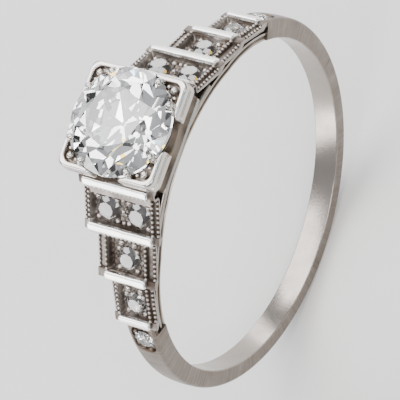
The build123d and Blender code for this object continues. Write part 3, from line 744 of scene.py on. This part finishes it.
def corner_plate():
    """The back right plate: upright sections on rays from the stone's axis. From outside, each
    climbs the grooved wall and the bevel to the rim, drops to the floor, meets the stone and goes
    under it. The rim narrows where the stone comes near, and its ends round off."""
    first = np.arctan(CORNER_OPENING / 2 / head_half)
    turn = np.linspace(first, pi / 2 - first, 91)
    column = np.ones((len(turn), 1))
    out = square_radius(turn, head_half, CORNER_ROUND)[:, None]
    end = np.minimum(turn - first, pi / 2 - first - turn)[:, None] * head_half
    tip = 1 - np.clip(1 - end / CORNER_END, 0, 1) ** 2
    top = rim_top - CORNER_END_DROP * (1 - np.sqrt(np.maximum(tip, 0)))
    base, bevel_start = rim_top - CORNER_DEPTH, top - BEVEL_HEIGHT
    groove = np.array([[0, 0, 0.035, 0.035, 0, 0, 0.035, 0.035, 0]])
    groove_drop = np.array([0.4, 0.27, 0.25, 0.21, 0.19, 0.15, 0.13, 0.09, 0.07])

    rim = np.maximum(out * (1 - RIM_WIDTH / head_half), stone_radius + STONE_RIM_GAP)
    rim = np.minimum(rim, out - 0.1)
    width = out - rim
    bevel, inner = np.linspace(0, pi / 2, 7), np.linspace(0, pi / 2, 4)
    bevel_r = out - 0.45 * width * (1 - np.cos(bevel))
    bevel_z = bevel_start + BEVEL_HEIGHT * np.sin(bevel)
    inner_r = rim + 0.07 * np.minimum(width / 0.3, 1) * (1 - np.sin(inner))
    inner_z = top - 0.05 + 0.05 * np.cos(inner)

    near = stone_radius + STONE_GAP
    floor_out = np.maximum(rim - 0.05, near)
    lip = floor_out > stone_radius + STONE_RIM_GAP
    floor = np.minimum(rim_top - RIM_DEPTH + 0.02, top - 0.03)
    edge_z = np.where(lip, girdle_z - 0.11, np.minimum(floor, girdle_z - 0.11))
    steps = np.linspace(0, 1, 8)
    floor_r = floor_out + (near - floor_out) * steps
    floor_z = floor + (edge_z - floor) * steps**3
    under_r = column * [near, near - 0.3, near - 0.5]
    under_z = column * [girdle_z - 0.12, girdle_z - 0.46, base]

    r = np.concatenate([out, out - groove, bevel_r, inner_r, floor_r, under_r], 1)
    z = np.concatenate([column * base, bevel_start - groove_drop, bevel_z, inner_z, floor_z, under_z], 1)
    x, y = r * np.cos(turn)[:, None], r * np.sin(turn)[:, None]
    cut = np.zeros(r.shape[1])
    cut[22:27] = 1  # the open floor between the rim and the stone, whose cut is uneven
    points = np.stack([x, y, z + waves(x, y, 0.28, 0.03) * cut * lip], -1)
    wall_patina_and_shade = [0.1, 0.1, 0.1, 0.8, 0.8, 0.1, 0.1, 0.8, 0.8, 0.1]  # the two grooves are dark
    # Patina with painted shade: dark grooves, the floor by the stone and the underside beneath it
    recess = np.concatenate([wall_patina_and_shade, np.zeros(10), [0.35], np.full(6, 0.75), np.full(5, 0.7)])
    return (*closed_loft(points), np.tile(recess, len(turn)))


def corner_grains():
    """Two large grains on stems lap over the stone's edge, a third stands in the plate's corner,
    and two small ones stand beside it: each has its angle, reach, lift above the girdle and size."""
    grains = []
    for angle, reach, lift, radius in (
            (30, 2.56, 0.16, 0.19), (60, 2.56, 0.16, 0.19), (45, 2.92, -0.12, 0.19),
            (38, 2.78, -0.14, 0.1), (52, 2.78, -0.14, 0.1)):
        x, y = reach * cos(radians(angle)), reach * sin(radians(angle))
        grains.append(ball((x, y, girdle_z + lift), radius, 8, 14))
        if lift > 0:
            foot = np.array([x, y, 0]) * (1 + 0.1 / reach) + [0, 0, girdle_z - 0.08]
            grains.append(ball(foot, radius * 0.95, 8, 12, 1.5))
    return grains


def square_ring(turn, corner, half, level, recess):
    """A ring of upright sections on rays round a square with round corners. Each section is a
    closed outline of half widths and heights, and a height may change with the ray."""
    shape = square_radius(turn, 1, corner)[:, None]
    r = shape * half
    points = np.stack([r * np.cos(turn)[:, None], r * np.sin(turn)[:, None], level + 0 * r], -1)
    return (*closed_loft(points, ring=True), np.broadcast_to(recess, r.shape).reshape(-1))


def collet():
    """A box whose top edge dips in an arc on each side, where a circle stands above the base."""
    turn = np.linspace(0, 2 * pi, 320, endpoint=False)
    shape = square_radius(turn, 1, 0.05)
    along = np.minimum(np.abs(np.cos(turn)), np.abs(np.sin(turn))) * shape * collet_half
    dip = SCALLOP_RADIUS - SCALLOP_DEPTH - np.sqrt(np.maximum(SCALLOP_RADIUS**2 - along**2, 0))
    top = (rim_top - CORNER_DEPTH + np.minimum(dip, 0))[:, None]
    half = collet_half - np.array([0, 0, SOFT_EDGE, COLLET_WALL - SOFT_EDGE, COLLET_WALL, COLLET_WALL])
    at_top, drop = np.array([0, 1, 1, 1, 1, 0]), np.array([0, 1, 0, 0, 1, 0]) * SOFT_EDGE
    level = collet_floor + (top - collet_floor) * at_top - drop
    # Painted shade: darker down the outer wall and darkest at the foot of the inner wall
    return square_ring(turn, 0.05, half, level, np.array([0.5, 0.15, 0.0, 0.1, 0.5, 0.9]))


def gallery_frame():
    """A square wire with softened edges under the collet."""
    turn = np.linspace(0, 2 * pi, 240, endpoint=False)
    outer = np.array([SOFT_EDGE, 0, 0, SOFT_EDGE])
    inset = np.concatenate([outer, FRAME_WIDTH - outer])
    climb = np.array([FRAME_DEPTH, FRAME_DEPTH - SOFT_EDGE, SOFT_EDGE, 0])
    drop = np.concatenate([climb, climb[::-1]])
    return square_ring(turn, 0.06, collet_half - inset, collet_floor - drop, 0.05)


def wire(path, radius):
    """A round wire: circles of 16 points carried square to a path of points."""
    along = np.gradient(path, axis=0)
    along /= np.linalg.norm(along, axis=1, keepdims=True)
    side = np.cross(along, [0.0, 1.0, 0.02])
    side /= np.linalg.norm(side, axis=1, keepdims=True)
    other = np.cross(along, side)
    turn = np.linspace(0, 2 * pi, 16, endpoint=False)
    circle = np.cos(turn)[:, None] * side[:, None] + np.sin(turn)[:, None] * other[:, None]
    return (*closed_loft(path[:, None] + radius * circle), 0.15)


def gallery_wire():
    """The back wire, bent to a circle about the finger."""
    radius = finger_radius + GALLERY_RISE
    angles = np.linspace(-1, 1, 60) * degrees(GALLERY_REACH / radius)
    return wire(side_to_space(polar(radius, angles), np.full(60, GALLERY_Y)), GALLERY_RADIUS)


def leg():
    """The back right leg, straight from the gallery frame's corner down to the finger rail."""
    corner = collet_half - FRAME_WIDTH / 2
    head = np.array([corner, corner, collet_floor - 0.2])
    foot = np.array([LEG_FOOT_X, LEG_FOOT_Y, sqrt((rail_radius - 0.05) ** 2 - LEG_FOOT_X**2)])
    return wire(head + (foot - head) * np.linspace(0, 1, 12)[:, None], LEG_RADIUS)


plate = [corner_plate()] + corner_grains()
back_wire, back_leg = [gallery_wire()], [leg()]
place_piece("collet_box", [collet()], shade, "recess_platinum", "collet")
place_piece("gallery_square", [gallery_frame()], polished, "polished_platinum", "gallery_frame")
for depth in ("back", "front"):
    strand = mirrored(back_wire, 1) if depth == "front" else back_wire
    place_piece(f"gallery_strand_{depth}", strand, polished, "polished_platinum", f"gallery_wire_{depth}")
    for side in ("right", "left"):
        for kind, shape, metal, slot in (("corner", plate, corner_metal, "bright_platinum"),
                                         ("leg", back_leg, polished, "polished_platinum")):
            made = mirrored(shape, 1) if depth == "front" else shape
            made = mirrored(made, 0) if side == "left" else made
            place_piece(f"{kind}_{depth}_{side}_metal", made, metal, slot, f"{kind}_{depth}_{side}")


# ---- Stones ----
# Old and single cut diamonds. They keep the facets of their solids, so only their glassy surface
# is given here, with the faintest cloud of body colour.

def diamond(name, tint):
    """Clear stone of index 2.42 with a faint cloud of tint half a millimetre wide."""
    material, tree, shader, place = surface(name)
    clouds = tree.node("TexNoise", sockets={"Vector": place, "Scale": 1500.0, "Detail": 2.0})
    feed(shader, "Base Color", clouds.blend((1, 1, 1), tint))
    feed(shader, "Roughness", clouds * 0.012)
    shader.inputs["IOR"].default_value = 2.417
    shader.inputs["Transmission Weight"].default_value = 1.0
    return material


centre_diamond = diamond("centre_diamond", (0.985, 0.99, 1.0))
side_diamond = diamond("side_diamond", (0.975, 0.98, 0.985))
for name, node in frame["nodes"].items():
    if "stone" in name:
        node.data.materials.clear()
        node.data.materials.append(centre_diamond if name == "centre_stone" else side_diamond)


# ---- Studio ----
# A pale floor under the ring, a soft sky, and soft boxes above and behind it.

FLOOR_HALF = 0.6
floor_corners = [(x * FLOOR_HALF, y * FLOOR_HALF, cad_box[0][2])
                 for x, y in ((-1, -1), (1, -1), (1, 1), (-1, 1))]
floor_mesh = bpy.data.meshes.new("floor")
floor_mesh.from_pydata(floor_corners, [], [(0, 1, 2, 3)])
floor = bpy.data.objects.new("floor", floor_mesh)
bpy.context.scene.collection.objects.link(floor)
material, tree, shader, place = surface("pale_floor")
grain = tree.node("TexNoise", sockets={"Vector": place, "Scale": 300.0, "Detail": 3.0})
feed(shader, "Base Color", grain.blend((0.68, 0.675, 0.66), (0.72, 0.715, 0.705)))
shader.inputs["Roughness"].default_value = 0.7
floor_mesh.materials.append(material)

world = bpy.data.worlds.new("studio")
bpy.context.scene.world = world
world.use_nodes = True
sky = Link(world.node_tree)
way = sky.node("TexCoord", output="Generated")
height = sky.node("SeparateXYZ", sockets={"Vector": way}, output="Z")
gradient = sky.node("ValToRGB", {"stops": [(0.46, (0.13, 0.125, 0.12, 1)), (1.0, (0.98, 1.0, 1.03, 1))]},
                    {"Fac": height * 0.5 + 0.5})
background = world.node_tree.nodes["Background"]
world.node_tree.links.new(gradient.socket, background.inputs["Color"])
background.inputs["Strength"].default_value = 0.9


def soft_box(name, direction, width, height, brightness, colour=(1, 1, 1), distance=0.25):
    """A rectangular area light that faces the ring. Its power is brightness, pi and area."""
    lamp = bpy.data.objects.new(name, bpy.data.lights.new(name, "AREA"))
    lamp.data.shape = "RECTANGLE"
    lamp.data.size, lamp.data.size_y, lamp.data.color = width, height, colour
    lamp.data.energy = brightness * pi * width * height
    lamp.location = Vector(direction).normalized() * distance
    lamp.rotation_mode = "QUATERNION"
    lamp.rotation_quaternion = Vector(direction).to_track_quat("Z", "Y")
    bpy.context.scene.collection.objects.link(lamp)


soft_box("key", (-0.5, -0.1, 1.0), 0.08, 0.08, 12, (1.0, 0.985, 0.96))
soft_box("top_fill", (0.55, -0.03, 0.83), 0.13, 0.11, 5.2)
soft_box("front_fill", (-0.2, -0.62, 0.76), 0.12, 0.1, 6.0)
soft_box("band", (0.22, 0.49, 0.75), 0.30, 0.16, 5.5)
soft_box("left_strip", (-0.86, 0.49, 0.12), 0.17, 0.10, 7.0)
soft_box("right_strip", (0.85, 0.45, 0.1), 0.16, 0.06, 6.0)
# Small lights that the stones' facets catch. The coloured ones stand for the fire of a diamond.
spark_directions = ((0.35, -0.62, 0.72), (0.85, 0.0, 0.55), (-0.9, -0.1, 0.55), (-0.3, -0.9, 0.4),
                    (0.1, 0.95, 0.35))
for number, direction in enumerate(spark_directions):
    soft_box(f"spark_{number}", direction, 0.025, 0.025, 14)
soft_box("warm_spark", (0.56, -0.42, 0.71), 0.06, 0.06, 6, (1.0, 0.62, 0.03))
soft_box("blue_spark", (0.26, 0.88, 0.41), 0.06, 0.06, 7, (0.08, 0.3, 1.0))
soft_box("pale_spark", (0.27, -0.86, 0.42), 0.05, 0.05, 8, (0.3, 0.7, 1.0))
